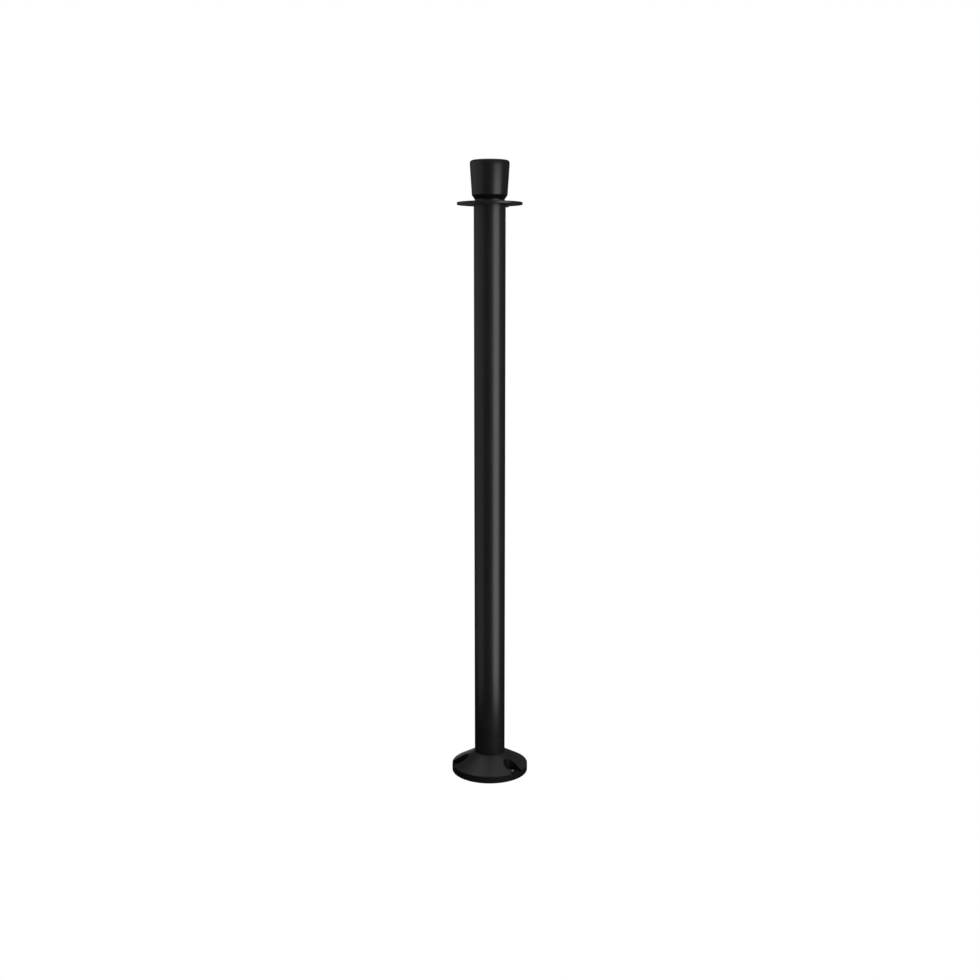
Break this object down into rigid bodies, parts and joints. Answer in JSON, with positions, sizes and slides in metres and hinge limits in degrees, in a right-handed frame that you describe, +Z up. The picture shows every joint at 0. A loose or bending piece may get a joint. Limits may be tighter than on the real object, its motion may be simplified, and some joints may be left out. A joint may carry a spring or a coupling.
{
  "type": "rope barrier stanchion",
  "caption": "Floor-fixed rope barrier post with a cone flange, a round tube, a flat rope ring and a flared screw-down cap.",
  "frame": {"origin": "centre of the floor flange's underside, on the post's axis", "axes": "+Z up along the post; -Y is the front; +X is to the right seen from the front"},
  "size_m": [0.1256, 0.1256, 0.9933],
  "materials": {
    "black_powder_coat": "satin black powder coat",
    "black_cast_coat": "satin black powder coat on a casting",
    "zinc_plate": "bright zinc plate",
    "bright_steel": "ground",
    "black_nylon": "matt",
    "grey_nylon": "matt",
    "seal_rubber": "matt",
    "black_oxide": "black oxide, oiled",
    "insert_brass": "turned and knurled"
  },
  "bodies": {
    "post": {"floor_flange": "black_cast_coat", "post_collar": "black_powder_coat", "collar_dowels": "bright_steel", "collar_seal": "seal_rubber", "lower_washer": "zinc_plate", "lower_spring_washer": "zinc_plate", "lower_nut": "zinc_plate", "tie_rod": "zinc_plate", "rod_spacer": "grey_nylon", "post_tube": "black_powder_coat", "top_plug": "black_powder_coat", "lower_ring_washer": "black_nylon", "upper_ring_washer": "black_nylon", "neck_collar": "black_powder_coat", "clamp_washer": "zinc_plate", "clamp_spring_washer": "zinc_plate", "clamp_nut": "zinc_plate"},
    "ring": {"rope_ring": "black_powder_coat", "accessory_screw": "black_oxide"},
    "slip_washer": {"cap_slip_washer": "black_nylon"},
    "cap": {"cap_shell": "black_powder_coat", "cap_insert": "insert_brass"}
  },
  "joints": [
    {"name": "ring_swivel", "type": "hinge", "parent": "post", "child": "ring", "pos_m": [0, 0, 0.928], "axis": [0, 0, 1], "continuous": true},
    {"name": "cap_turn", "type": "hinge", "parent": "post", "child": "slip_washer", "pos_m": [0, 0, 0.9345], "axis": [0, 0, 1], "range_deg": [0, 3240]},
    {"name": "cap_lift", "type": "slide", "parent": "slip_washer", "child": "cap", "axis": [0, 0, 1], "range_m": [0, 0.0135]}
  ],
  "couplings": [
    {"joint": "cap_lift", "follows": "cap_turn", "m_per_rad": 0.00023873}
  ]
}
